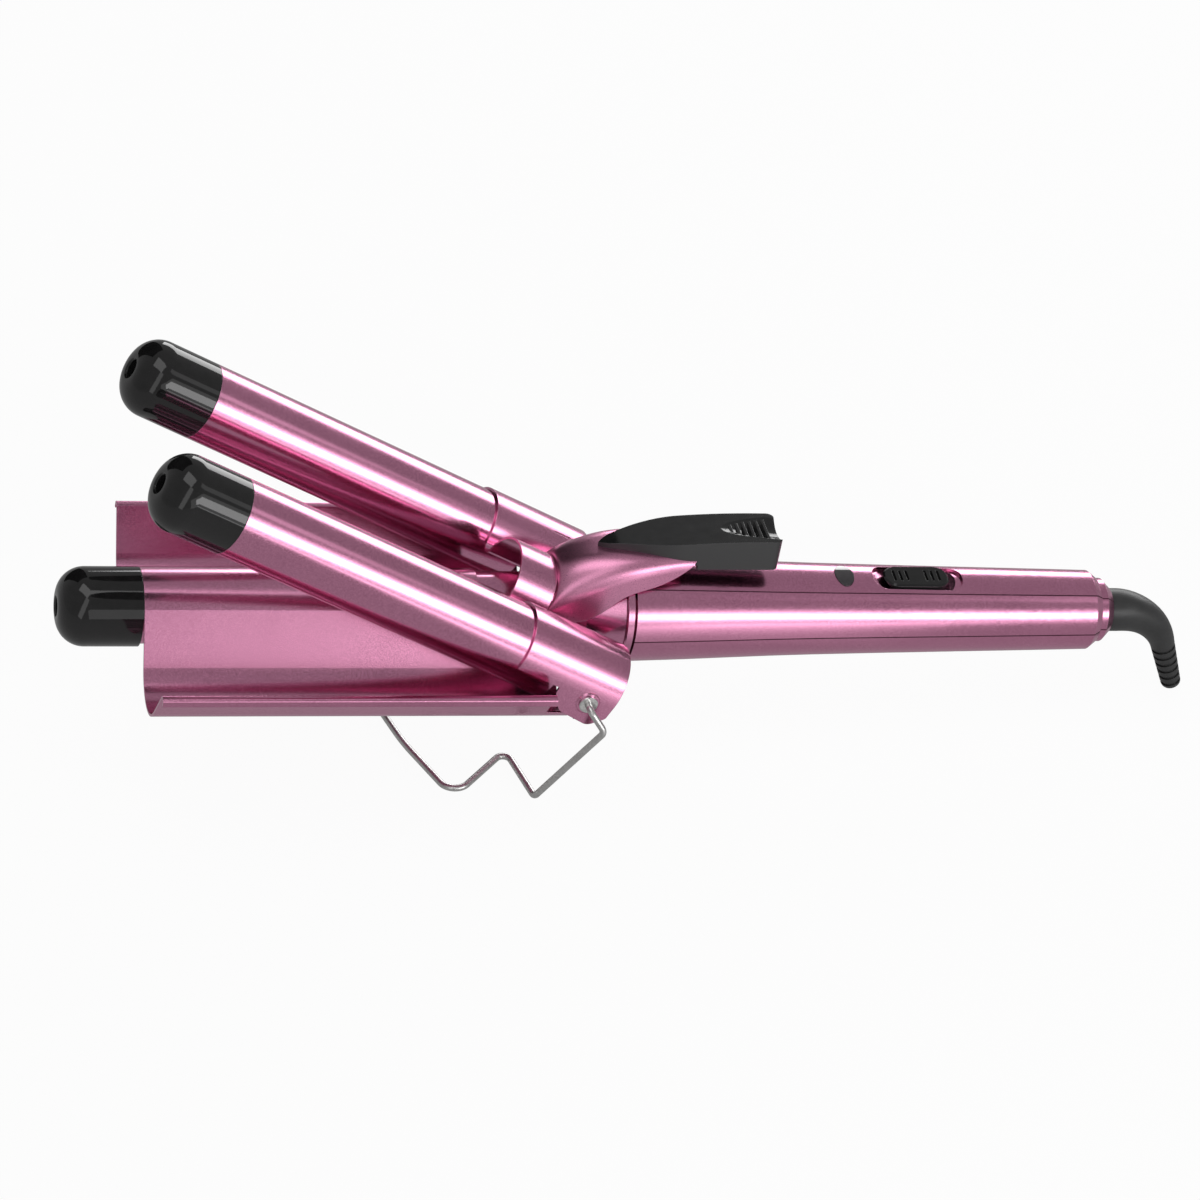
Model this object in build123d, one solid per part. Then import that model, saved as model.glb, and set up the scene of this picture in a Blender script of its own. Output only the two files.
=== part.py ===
from build123d import *
from math import acos, atan2, cos, degrees, hypot, radians, sin, sqrt
import os

# Three-barrel hair waver, millimetres.
# The device frame has X along the middle barrel, from its tip towards the cord, Z up out of the
# handle's top panel, and its zero on the barrel axis just ahead of the handle. placement() stands the
# finished device on its wire stand and its boot.

# barrels and tip caps
barrel_r = 12.5             # outer barrels, and every tip cap
barrel_wall = 0.8
barrel_spacing = 31.0       # middle axis to each outer axis
outer_drop = 2.3            # outer axes below the middle axis, clamp closed
middle_tube_r = 11.6
middle_seam_x = -147.7      # where the middle cap meets its barrel
outer_seam_x = -144.7       # the same on the outer barrels, clamp closed
outer_tube_rear_x = -25.0
cap_length = 25.7
cap_corner_r = 8.8
cap_wall = 2.6
cap_hole_r = 3.0
cap_bevel = 0.5
spigot_length = 9.0
fit_gap = 0.1               # between pieces that are pushed together

# hinge
hinge_x = -11.6
hinge_z = -4.3
open_angle = 26.45          # barrels in the gutters to barrels as they stand open
rivet_shank_r = 2.2
rivet_head_r = 3.0
rivet_head_t = 0.8
running_gap = 0.05
hinge_pin_reach = 8.0       # rivet's inner end inside the outer barrel's side
hinge_pin_inner_y = barrel_spacing + barrel_r - hinge_pin_reach

# tray sheet
tray_t = 0.8
tray_hump_r = middle_tube_r + fit_gap + tray_t
gutter_gap = 0.35
tray_rear_x = -24.0
hump_rear_x = -41.0         # the tray's hump stops here; the tube goes on to the neck
lip_reach = 7.1             # lip beyond the outer barrel's side
lip_y = barrel_spacing + barrel_r + lip_reach
lip_z = 3.1
hem_out = 2.0
hem_down = 2.2
hem_bend_r = 0.75

# clamp cover sheet, clamp closed
cover_t = 0.8
cover_front_x = -39.3
cover_rear_x = -2.8
hump_gap = 0.6              # tray hump to cover hump
hump_drop = 0.2
valley_r = 2.6
rim_x = -25.3               # rear rim of the cover's hump
skirt_z = -3.4              # lower edge of the sleeves ahead of the cheeks
cheek_front_x = -23.4
cheek_boss_r = 3.9
cheek_boss_h = 0.5
slit_x = -16.6
slit_length = 6.0
slit_w = 0.7
slit_turn = 20.0            # from the sleeve's crown towards the middle
stud_xs = (-34.6, -28.9)
stud_r = 0.9
stud_turn = 40.0            # from the sleeve's crown towards the middle
stud_depth = 0.4            # into the sleeve's sheet

# hinge yoke
ear_t = 1.0
ear_r = 4.0
washer_t = 0.5
washer_r = 3.3
yoke_t = 1.0
yoke_length = 6.6
saddle_z = -10.6
saddle_w = 16.0
yoke_screw_r = 1.3
yoke_screw_y = 4.5

# torsion springs
spring_r = 3.3
spring_wire_r = 0.4
spring_turns = 4
spring_pitch = 1.1
spring_leg = 8.0

# neck collar and front ring
neck_x = -24.0
neck_r = 11.8
neck_flare_x = -6.0
neck_flare_r = 15.8
neck_bore_r = 8.0
neck_tenon = 12.0
ring_x = 6.0
ring_w = 2.7
ring_r = 17.0
spigot_r = 12.9
neck_spigot = 17.0
neck_rib_x = 19.0            # a rib inside the handle steadies the neck's spigot
neck_rib_w = 2.0

# handle
handle_x = 9.2
handle_stations = ((9.2, 17.0), (35.0, 16.15), (61.0, 15.15), (89.0, 14.45), (119.0, 13.85), (165.8, 12.95))
handle_bevel = 2.4
handle_wall = 2.0
parting_z = 0.4
handle_turn = 5.5           # the handle sits turned about its axis, near side down
seam_gap = 0.15
tail_r = 10.4
tail_end_x = 173.4
tail_bevel = 2.8
panel_half_angle = 28.5
panel_t = 1.0
panel_end = 0.8             # how far the panel runs into the handle's end bevel
panel_gap = 0.12
pocket_x = 163.4
tail_wall = 0.9
pocket_r = tail_r - tail_wall
boot_gap = 0.3

# switch, lens and board
knob_x = 104.5
knob_length = 22.2
knob_w = 9.6
knob_rise = 0.3
knob_height = 3.4
knob_travel_back = 2.6      # towards the barrels
knob_travel_on = 3.2        # towards the cord
slot_shift = 0.5            # the slot's middle beyond the knob's, towards the cord
slot_side_gap = 0.55        # knob to the slot's sides
slot_end_gap = 1.2          # knob to the slot's ends, at the ends of its travel
slot_x = knob_x + slot_shift
slot_length = knob_length + knob_travel_back + knob_travel_on + 2 * slot_end_gap
slot_w = knob_w + 2 * slot_side_gap
slot_depth = 4.4
pocket_wall = 1.2
knob_stem = 3.0
knob_lift = 0.35            # knob over the dish's floor, at either end of its travel
groove_w = 0.8
groove_pitch = 2.15
groove_half = 2.5
lens_x = 80.0
lens_long = 9.6
lens_short = 6.2
lens_rise = 0.25
board_z = 3.6
board_t = 1.6
board_x = 70.0
board_length = 80.0
board_w = 17.0
screw_xs = (40.0, 156.0)
screw_r = 1.3
boss_r = 3.0
lead_side = 4.6             # leads pass the front screw boss at this distance from the middle

# lever, drawn as it lies with the clamp open
lever_pitch = 26.45
scoop_t = 0.8
# station, top height, half width, corner radius
scoop_stations = (
    (-12.0, 21.4, 12.8, 10.6),
    (-2.0, 24.7, 12.5, 8.4),
    (6.5, 25.7, 12.0, 6.6),
    (16.0, 25.7, 10.6, 5.0),
    (27.4, 25.7, 8.9, 4.0),
)
scoop_root_gap = 0.1        # scoop's root inside the cover's hump
scoop_tab = 5.0             # how far the root is tucked under the hump
scoop_tab_span = 120.0
scoop_root_lead = 0.9       # straight part of the root behind the rim
scoop_edge = ((-26.0, 2.0), (-20.7, 2.4), (-14.0, 3.1), (-7.0, 4.3), (-1.0, 7.8), (5.0, 12.9),
              (14.5, 16.0), (22.5, 19.6), (27.4, 24.2))
pad_plan = ((-3.4, 0.0), (-1.4, 1.7), (3.0, 3.6), (9.0, 5.6), (16.0, 7.3), (24.0, 8.0))
pad_rear_x = 55.0
pad_step_x = 28.0
pad_bottom_z = 21.0
pad_top = ((-3.4, 25.9), (3.0, 27.8), (12.5, 29.4), (20.3, 30.3), (35.0, 31.4), (55.0, 31.7))
pad_corner_r = 2.4
rest_apex_x = 32.5
rest_depth = 2.6
rest_r = 9.5
rib_count = 7
rib_pitch = 2.3
rib_w = 1.0
rib_rear = 4.2              # last rib to the pad's rear end
pad_rivet_xs = (12.0, 22.0)
pad_rivet_r = 1.5

# heaters
bar_w = 11.0
bar_t = 3.0
bar_length = 96.0
spreader_t = 1.2
spreader_span = 104.0
heater_front_x = -136.0
lead_r = 0.9

# cord boot
boot_r = 7.05
boot_neck_r = 4.1           # where the bend ends
boot_tip_r = 3.25
boot_tip_fillet = 2.2
boot_straight = 3.1         # out of the handle before the bend
boot_bend_r = 21.5
boot_bend = 67.0
boot_tail = 19.2
cord_bore_r = 2.25
flange_r = pocket_r - boot_gap
flange_t = 2.2
boot_groove_count = 6
boot_groove_w = 1.2
boot_groove_depth = 0.45
boot_groove_pitch = 2.95
boot_groove_end = 2.9       # last groove to the tip

# wire stand: foot corners in plan, at table level
wire_r = 1.1
rest_pitch = 4.5            # the tips stand this much higher than the handle's end
stand_reach = 5.1           # straight end of the wire beyond the outer barrel's side
stand_out_y = barrel_spacing + barrel_r + stand_reach
elbow_x = -6.7
elbow_y = stand_out_y + 2.9
elbow_z = -10.4
foot_one = (-20.4, -36.3)
foot_notch = (-25.0, -12.0)
foot_two = (-46.0, -33.5)
foot_side = (-56.8, -4.4)
foot_three = (-62.8, 21.0)
stand_bends = (2.3, 2.6, 2.6, 2.6, 5.0, 90.0, 7.0, 2.6, 2.3)

sides = {"near": -1, "far": 1}
handle_group = ("front_ring", "upper_handle_shell", "lower_handle_shell", "top_panel", "handle_screws",
                "indicator_lens", "indicator_lamp", "circuit_board", "board_spacers", "switch_body",
                "heater_leads", "thermal_fuse", "supply_leads", "swivel_block", "contact_blades")


# ---------- helpers ----------

def rod_x(x0, x1, r, y=0.0, z=0.0):
    """A round bar along X."""
    return Pos(x0, y, z) * Rot(0, 90, 0) * Cylinder(r, x1 - x0, align=(Align.CENTER, Align.CENTER, Align.MIN))


def rod_y(y0, y1, r, x=0.0, z=0.0):
    """A round bar along Y."""
    low = min(y0, y1)
    bar = Cylinder(r, abs(y1 - y0), align=(Align.CENTER, Align.CENTER, Align.MIN))
    return Pos(x, low, z) * Rot(-90, 0, 0) * bar


def rod_z(z0, z1, r, x=0.0, y=0.0):
    """A round bar along Z."""
    return Pos(x, y, z0) * Cylinder(r, z1 - z0, align=(Align.CENTER, Align.CENTER, Align.MIN))


def block(x0, x1, y0, y1, z0, z1):
    """A box between two corners."""
    size = Box(x1 - x0, y1 - y0, z1 - z0, align=(Align.MIN, Align.MIN, Align.MIN))
    return Pos(x0, y0, z0) * size


def spun(*points):
    """Turn a closed outline of (x, radius) points about X."""
    return revolve(make_face(Polyline(*points, close=True)), axis=Axis.X, revolution_arc=360)


def along_x(sketch, x0, x1):
    """Extrude a section drawn in (y, z) from x0 to x1."""
    return extrude(Plane.YZ.offset(x0) * sketch, amount=x1 - x0)


def across(sketch, half_width):
    """Extrude a side view drawn in (x, z) to both sides of the middle plane."""
    return extrude(Plane.XZ * sketch, amount=half_width, both=True)


def flipped(shape):
    """The same piece on the other side of the middle plane."""
    return mirror(shape, about=Plane.XZ)


def turned(shape, angle):
    """Turn about the hinge; positive lifts the barrel tips."""
    return shape.rotate(Axis((hinge_x, 0, hinge_z), (0, 1, 0)), angle)


def from_lever(shape):
    """Bring a piece drawn along the open lever back to the closed clamp."""
    return turned(shape, -lever_pitch)


def polar(centre, r, angle):
    """A point on a circle; angle in degrees from +Y in the (y, z) section."""
    return (centre[0] + r * cos(radians(angle)), centre[1] + r * sin(radians(angle)))


# ---------- tray ----------

def tray_half_section():
    """Hump, gutter, flared wall and hem of one side, as a sheet section."""
    hump = tray_hump_r - tray_t / 2
    gutter = barrel_r + gutter_gap + tray_t / 2
    axis = (barrel_spacing, -outer_drop)
    lean = degrees(atan2(axis[1], axis[0]))
    touch = lean + degrees(acos((hump + gutter) / hypot(*axis)))
    lip = (lip_y, lip_z)
    to_lip = (lip[0] - axis[0], lip[1] - axis[1])
    wall = degrees(atan2(to_lip[1], to_lip[0])) - degrees(acos(gutter / hypot(*to_lip)))
    start = polar((0, 0), hump, touch)
    end = polar(axis, gutter, touch + 180)
    foot = polar(axis, gutter, wall)
    hem_end = (lip_y + hem_out, lip_z)
    path = [
        CenterArc((0, 0), hump, 90, touch - 90),
        Line(start, end),
        CenterArc(axis, gutter, touch + 180, wall + 180 - touch),
        FilletPolyline(foot, lip, hem_end, (hem_end[0], lip_z - hem_down), radius=hem_bend_r),
    ]
    return trace(path, tray_t)


def make_tray():
    half = along_x(tray_half_section(), middle_seam_x, tray_rear_x)
    half -= block(hump_rear_x, tray_rear_x + 1, -1, barrel_spacing - barrel_r, -8, tray_hump_r + 1)
    return half + flipped(half)


# ---------- barrels, caps and heaters ----------

def make_cap(seam_x, bore_r, y=0.0, z=0.0):
    """A tip cap whose spigot fits a tube of the given bore."""
    tip_x = seam_x - cap_length
    plug_r = bore_r - fit_gap
    inner_r = plug_r - cap_wall / 2
    flat_r = barrel_r - cap_corner_r
    mouth_r = cap_hole_r + cap_bevel
    outline = [
        Line((seam_x - fit_gap, plug_r), (seam_x - fit_gap, barrel_r)),
        Line((seam_x - fit_gap, barrel_r), (tip_x + cap_corner_r, barrel_r)),
        CenterArc((tip_x + cap_corner_r, flat_r), cap_corner_r, 90, 90),
        Line((tip_x, flat_r), (tip_x, mouth_r)),
        Line((tip_x, mouth_r), (tip_x + cap_bevel, cap_hole_r)),
        Line((tip_x + cap_bevel, cap_hole_r), (tip_x + 2 * cap_wall, cap_hole_r)),
        Line((tip_x + 2 * cap_wall, cap_hole_r), (tip_x + 2 * cap_wall, inner_r / 2)),
        Line((tip_x + 2 * cap_wall, inner_r / 2), (tip_x + cap_corner_r + cap_wall, inner_r)),
        Line((tip_x + cap_corner_r + cap_wall, inner_r), (seam_x + spigot_length, inner_r)),
        Line((seam_x + spigot_length, inner_r), (seam_x + spigot_length, plug_r)),
        Line((seam_x + spigot_length, plug_r), (seam_x - fit_gap, plug_r)),
    ]
    cap = revolve(make_face(outline), axis=Axis.X, revolution_arc=360)
    return Pos(0, y, z) * cap


def make_tube(front_x, rear_x, r, y=0.0, z=0.0):
    """A heated barrel: a plain tube."""
    return rod_x(front_x, rear_x, r, y, z) - rod_x(front_x - 1, rear_x + 1, r - barrel_wall, y, z)


def make_heating_bar(front_x, y=0.0, z=0.0):
    bar = Box(bar_length, bar_w, bar_t, align=(Align.MIN, Align.CENTER, Align.CENTER))
    return Pos(front_x, y, z) * bar


def make_spreaders(front_x, bore_r, y=0.0, z=0.0):
    """Two aluminium half shells, one above and one below the bar, with a foot on the bar."""
    outer = bore_r - fit_gap
    parts = []
    for turn in (90, 270):
        arc = CenterArc((0, 0), outer - spreader_t / 2, turn - spreader_span / 2, spreader_span)
        section = trace(arc, spreader_t)
        middle = (bar_t / 2 + outer - spreader_t / 2) / 2 * (1 if turn == 90 else -1)
        web = Pos(0, middle) * Rectangle(spreader_t * 2, outer - spreader_t / 2 - bar_t / 2)
        shell = along_x(section + web, front_x, front_x + bar_length)
        parts.append(Pos(0, y, z) * shell)
    return Compound(parts)


def make_leads(front_x, rear_x, y=0.0, z=0.0):
    """Two straight leads out of a heating bar's rear end."""
    gap = bar_w / 4
    return Compound([rod_x(front_x, rear_x, lead_r, y + s * gap, z) for s in (-1, 1)])


# ---------- neck, ring and handle ----------

def make_neck():
    bore = middle_tube_r - barrel_wall - fit_gap
    rear = ring_x + neck_spigot
    body = spun(
        (neck_x - neck_tenon, 0), (neck_x - neck_tenon, bore), (neck_x + fit_gap, bore),
        (neck_x + fit_gap, neck_r), (neck_flare_x, neck_r), (ring_x - fit_gap, neck_flare_r),
        (ring_x - fit_gap, spigot_r), (rear, spigot_r), (rear, 0),
    )
    front = hinge_x - yoke_length / 2 - fit_gap
    length = yoke_length + 2 * fit_gap
    body += block(front - 2, front + length + 2, -saddle_w / 2, saddle_w / 2, saddle_z, -neck_bore_r)
    body -= block(front, front + length, -neck_flare_r, neck_flare_r, -neck_flare_r, saddle_z)
    body -= rod_x(neck_x - neck_tenon - 1, rear + 1, neck_bore_r)
    for y in (-yoke_screw_y, yoke_screw_y):
        body -= rod_z(saddle_z - 1, saddle_z + 4.5, yoke_screw_r + fit_gap / 2, hinge_x, y)
    return body


def make_front_ring():
    ring = rod_x(ring_x, ring_x + ring_w, ring_r)
    ring = chamfer(ring.edges().filter_by(GeomType.CIRCLE), 0.35)
    return ring - rod_x(ring_x - 1, ring_x + ring_w + 1, spigot_r + fit_gap)


def handle_form(inset):
    """The handle's turned form, shrunk by inset; only the full size has its end bevel."""
    points = [(x, r - inset) for x, r in handle_stations]
    bevel = handle_bevel if inset == 0 else 0.01
    last = (points[-1][0] + bevel, points[-1][1] - bevel * 0.75)
    edges = [
        Spline(*points),
        Line(points[-1], last),
        Line(last, (last[0], 0)),
        Line((last[0], 0), (points[0][0], 0)),
        Line((points[0][0], 0), points[0]),
    ]
    return revolve(make_face(edges), axis=Axis.X, revolution_arc=360)


def handle_solid():
    """Handle and tail, solid."""
    tail_x = handle_stations[-1][0] + handle_bevel
    tail = spun((tail_x - 1, 0), (tail_x - 1, tail_r), (tail_end_x - tail_bevel, tail_r),
                (tail_end_x, tail_r - tail_bevel), (tail_end_x, 0))
    return handle_form(0) + tail


def handle_cavity():
    """The space inside the shells: neck spigot, board bay, swivel pocket and boot hole."""
    bay = handle_form(handle_wall) & rod_x(handle_x + handle_wall, pocket_x, 2 * ring_r)
    bay -= rod_x(neck_rib_x, neck_rib_x + neck_rib_w, 2 * ring_r)
    bay += rod_x(handle_x - 1, neck_rib_x + neck_rib_w + 1, spigot_r + fit_gap)
    pocket_end = tail_end_x - handle_wall - 1.5
    bay += rod_x(pocket_x - 0.5, pocket_end, pocket_r)
    bay += rod_x(pocket_end - 0.5, tail_end_x + 1, boot_r + boot_gap)
    return bay


def panel_wedge(margin):
    """The sector that the top panel fills; margin opens or closes its two seams."""
    reach = 2 * ring_r
    apex = -margin / sin(radians(panel_half_angle))
    side = (reach * sin(radians(panel_half_angle)), apex + reach * cos(radians(panel_half_angle)))
    sector = make_face(Polyline((0, apex), (-side[0], side[1]), (side[0], side[1]), close=True))
    return along_x(sector, handle_x - 1, handle_stations[-1][0] + panel_end + margin)


def handle_top(x):
    """Height of the handle's crown at x."""
    for (x0, r0), (x1, r1) in zip(handle_stations, handle_stations[1:]):
        if x0 <= x <= x1:
            return r0 + (r1 - r0) * (x - x0) / (x1 - x0)
    return handle_stations[-1][1]


def dish_r():
    """Radius of the dish's floor, from its length and depth."""
    half = slot_length / 2
    return (half ** 2 + slot_depth ** 2) / (2 * slot_depth)


def slot_dish():
    """The boat-shaped recess around the knob."""
    top = handle_top(slot_x)
    half = slot_length / 2
    cutter = rod_y(-slot_w / 2, slot_w / 2, dish_r(), slot_x, top - slot_depth + dish_r())
    return cutter & block(slot_x - half - 2, slot_x + half + 2, -slot_w, slot_w, 0, top + 2)


def lens_prism(grow, low, high):
    oval = Ellipse(lens_short / 2 + grow, lens_long / 2 + grow)
    return extrude(Pos(lens_x, 0, low) * oval, amount=high - low)


def stem_slot():
    """The way through the dish's floor for the knob's stem."""
    x0 = knob_x - knob_travel_back - knob_stem / 2 - 0.4
    x1 = knob_x + knob_travel_on + knob_stem / 2 + 0.4
    return block(x0, x1, -knob_stem / 2 - 0.3, knob_stem / 2 + 0.3, board_z + board_t, handle_top(slot_x) + 1)


def make_upper_shell():
    shell = handle_solid() - handle_cavity()
    shell -= block(0, tail_end_x + 1, -30, 30, -30, parting_z + seam_gap / 2)
    shell -= panel_wedge(0) & (handle_form(0) - handle_form(panel_t))
    half = slot_length / 2 + pocket_wall
    floor_z = handle_top(slot_x) - slot_depth - pocket_wall
    pocket = block(slot_x - half, slot_x + half, -slot_w / 2 - pocket_wall, slot_w / 2 + pocket_wall,
                   floor_z, handle_top(slot_x)) & handle_form(panel_t)
    for x in screw_xs:
        pocket += rod_z(parting_z + seam_gap / 2, handle_top(x) - handle_wall + 0.5, boss_r, x)
    shell += pocket
    shell -= slot_dish() + stem_slot() + lens_prism(0.1, board_z, ring_r)
    for x in screw_xs:
        shell -= rod_z(parting_z - 1, 8, screw_r - 0.05, x)
    return shell


def make_lower_shell():
    shell = handle_solid() - handle_cavity()
    shell -= block(0, tail_end_x + 1, -30, 30, parting_z - seam_gap / 2, 30)
    for x in screw_xs:
        boss = rod_z(-handle_top(x) + handle_wall - 0.5, parting_z - seam_gap / 2, boss_r, x)
        shell += boss
        shell -= rod_z(-ring_r, parting_z, screw_r + fit_gap / 2, x)
        shell -= rod_z(-ring_r, -handle_top(x) + 2.2, 2 * screw_r + 0.1, x)
    for x in (board_x + 8, board_x + board_length - 14):
        for y in (-6.5, 6.5):
            post = rod_z(-handle_top(x) * 0.9, board_z, 1.6, x, y) & handle_form(handle_wall / 2)
            shell += post & block(0, tail_end_x, -30, 30, -30, parting_z - seam_gap / 2)
    return shell


def make_board_posts():
    """Spacers between the lower shell's posts and the board."""
    parts = []
    for x in (board_x + 8, board_x + board_length - 14):
        for y in (-6.5, 6.5):
            parts.append(rod_z(parting_z - seam_gap / 2, board_z, 1.6, x, y))
    return Compound(parts)


def make_top_panel():
    panel = (handle_form(0) - handle_form(panel_t - 0.02)) & panel_wedge(-panel_gap)
    half = slot_length / 2
    slot = block(slot_x - half, slot_x + half, -slot_w / 2, slot_w / 2, 0, ring_r)
    slot = fillet(slot.edges().filter_by(Axis.Z), slot_w * 0.42)
    return panel - slot - lens_prism(0.1, board_z, ring_r)


def make_handle_screws():
    parts = []
    for x in screw_xs:
        head_z = -handle_top(x) + 0.7
        screw = rod_z(head_z, 6.0, screw_r - 0.1, x) + rod_z(head_z, head_z + 1.4, 2 * screw_r, x)
        screw -= Pos(x, 0, head_z) * (Box(3.2, 0.7, 1.2) + Box(0.7, 3.2, 1.2))
        parts.append(screw)
    return Compound(parts)


# ---------- switch, lens, board ----------

def make_lens():
    top = handle_top(lens_x) + lens_rise
    lens = lens_prism(0, handle_top(lens_x) - 4.0, ring_r)
    dome = rod_x(lens_x - lens_short, lens_x + lens_short, top)
    return lens & dome


def make_lamp():
    base = board_z + board_t
    lamp = rod_z(base, base + 3.2, 1.5, lens_x) + Pos(lens_x, 0, base + 3.2) * Sphere(1.5)
    return lamp + rod_z(base, base + 0.7, 1.9, lens_x)


def make_board():
    board = Pos(board_x, 0, board_z) * Box(board_length, board_w, board_t,
                                           align=(Align.MIN, Align.CENTER, Align.MIN))
    return board


def make_switch_body():
    base = board_z + board_t
    top = handle_top(slot_x) - slot_depth - pocket_wall
    return block(slot_x - 9, slot_x + 9, -4.5, 4.5, base, top - 0.15) - stem_slot()


def make_knob():
    """The slide knob: a rounded bar with two groups of grooves, on a stem."""
    top = handle_top(slot_x) + knob_rise
    bar = extrude(Pos(knob_x, 0, top - knob_height) * SlotOverall(knob_length, knob_w), amount=knob_height)
    bar = chamfer(bar.edges().group_by(Axis.Z)[-1], 0.6)
    floor_r = dish_r() - knob_lift
    floor_z = handle_top(slot_x) - slot_depth + dish_r()
    for reach in (-knob_travel_on, knob_travel_back):
        bar &= rod_y(-knob_w, knob_w, floor_r, slot_x + reach, floor_z)
    for side in (-1, 1):
        for k in range(3):
            x = knob_x + side * (3.2 + k * groove_pitch)
            bar -= block(x - groove_w / 2, x + groove_w / 2, -groove_half, groove_half, top - 0.8, top + 1)
    stem_low = board_z + board_t + 1.0
    half = knob_stem / 2
    return bar + block(knob_x - half, knob_x + half, -half, half, stem_low, top - knob_height + 0.5)


# ---------- clamp cover ----------

def cover_half_section():
    """From the crown of the middle hump out over one sleeve and down its skirt."""
    hump = tray_hump_r + hump_gap + cover_t / 2
    sleeve = barrel_r + fit_gap + cover_t / 2
    centre = (0, -hump_drop)
    axis = (barrel_spacing, -outer_drop)
    span = hypot(axis[0] - centre[0], axis[1] - centre[1])
    to_hump = hump + valley_r
    to_sleeve = sleeve + valley_r
    foot = (to_hump ** 2 - to_sleeve ** 2 + span ** 2) / (2 * span)
    lift = sqrt(to_hump ** 2 - foot ** 2)
    unit = ((axis[0] - centre[0]) / span, (axis[1] - centre[1]) / span)
    valley = (centre[0] + foot * unit[0] - lift * unit[1], centre[1] + foot * unit[1] + lift * unit[0])
    hump_angle = degrees(atan2(valley[1] - centre[1], valley[0] - centre[0]))
    sleeve_angle = degrees(atan2(valley[1] - axis[1], valley[0] - axis[0]))
    skirt = (axis[0] + sleeve, axis[1])
    path = [
        CenterArc(centre, hump, 90, hump_angle - 90),
        CenterArc(valley, valley_r, hump_angle + 180, sleeve_angle - hump_angle),
        CenterArc(axis, sleeve, sleeve_angle, -sleeve_angle),
        Line(skirt, (skirt[0], hinge_z - 9)),
    ]
    return trace(path, cover_t), axis[0] - sleeve * cos(radians(180 - sleeve_angle))


def cheek_outline():
    """Side view of the cheek that carries the hinge."""
    points = ((cheek_front_x, skirt_z + 1), (cheek_front_x + 0.3, -5.6), (-18.4, -10.9), (-6.9, -11.7),
              (cover_rear_x, -7.0), (cover_rear_x, skirt_z + 1))
    return make_face(FilletPolyline(*points, radius=(0.3, 1.5, 4.0, 3.5, 1.5, 0.3), close=True))


def make_cover():
    section, inner_edge = cover_half_section()
    half = along_x(section, cover_front_x, cover_rear_x)
    half -= block(rim_x, cover_rear_x + 1, -1, inner_edge, -20, 20)
    outer = barrel_spacing + barrel_r
    low_zone = block(cover_front_x - 1, cover_rear_x + 1, outer - 3, outer + 3, hinge_z - 12, skirt_z)
    half -= low_zone - across(cheek_outline(), outer + 4)
    face = barrel_spacing + barrel_r + fit_gap + cover_t
    boss = rod_y(face - 0.05, face + cheek_boss_h, cheek_boss_r, hinge_x, hinge_z)
    half += chamfer(boss.edges().filter_by(GeomType.CIRCLE).group_by(Axis.Y)[-1], cheek_boss_h * 0.8)
    half -= rod_y(face - 3, face + 2, rivet_shank_r + running_gap, hinge_x, hinge_z)
    slit = block(slit_x, slit_x + slit_length, -slit_w / 2, slit_w / 2, barrel_r - 1, barrel_r + 3)
    half -= Pos(0, barrel_spacing, -outer_drop) * Rot(slit_turn, 0, 0) * slit
    return half + flipped(half)


def on_sleeve(shape, side):
    """Carry a piece drawn at the crown of a sleeve round to the side facing the middle."""
    return Pos(0, side * barrel_spacing, -outer_drop) * Rot(side * stud_turn, 0, 0) * shape


def make_barrel_studs():
    """Two studs a side, blind in the sleeve's inner face, with their heads inside the barrel."""
    inner = barrel_r - barrel_wall
    parts = []
    for side in (1, -1):
        for x in stud_xs:
            stud = rod_z(inner - 0.6, barrel_r + fit_gap + stud_depth - 0.02, stud_r, x)
            stud += rod_z(inner - 0.9, inner - 0.4, 2 * stud_r, x)
            parts.append(on_sleeve(stud, side))
    return Compound(parts)


def stud_holes(side):
    top = barrel_r + fit_gap + stud_depth
    holes = [on_sleeve(rod_z(barrel_r - barrel_wall - 1, top, stud_r + 0.02, x), side) for x in stud_xs]
    return holes[0] + holes[1]


# ---------- lever ----------

def arch_section(top, half, corner, low=-14.0):
    """A filled arch: straight sides and a flat crown with rounded shoulders."""
    side = top - corner
    edges = [
        Line((-half, low), (-half, side)),
        CenterArc((-half + corner, side), corner, 180, -90),
        Line((-half + corner, top), (half - corner, top)),
        CenterArc((half - corner, side), corner, 90, -90),
        Line((half, side), (half, low)),
        Line((half, low), (-half, low)),
    ]
    return make_face(edges)


def root_r():
    """Outer radius of the scoop's root, which nests inside the cover's hump."""
    return tray_hump_r + hump_gap - scoop_root_gap


def scoop_form(inset):
    """The lever scoop as a filled loft, shrunk by inset; its root lies in the cover's rim plane."""
    r = root_r() - inset
    root = Pos(0, -hump_drop) * arch_section(r, r, r - 0.01, hump_drop - 14.0)
    faces = [turned(Plane.YZ.offset(rim_x + scoop_root_lead) * root, lever_pitch)]
    for x, top, half, corner in scoop_stations:
        section = arch_section(top - inset, half - inset, corner - inset)
        faces.append(Plane.YZ.offset(x) * section)
    return loft(faces)


def make_scoop_tab():
    """The curved tab that tucks the scoop's root under the hump, clamp closed."""
    r = root_r() - scoop_t / 2
    arc = CenterArc((0, -hump_drop), r, 90 - scoop_tab_span / 2, scoop_tab_span)
    return along_x(trace(arc, scoop_t), rim_x - scoop_tab, rim_x + scoop_root_lead + 0.2)


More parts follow.
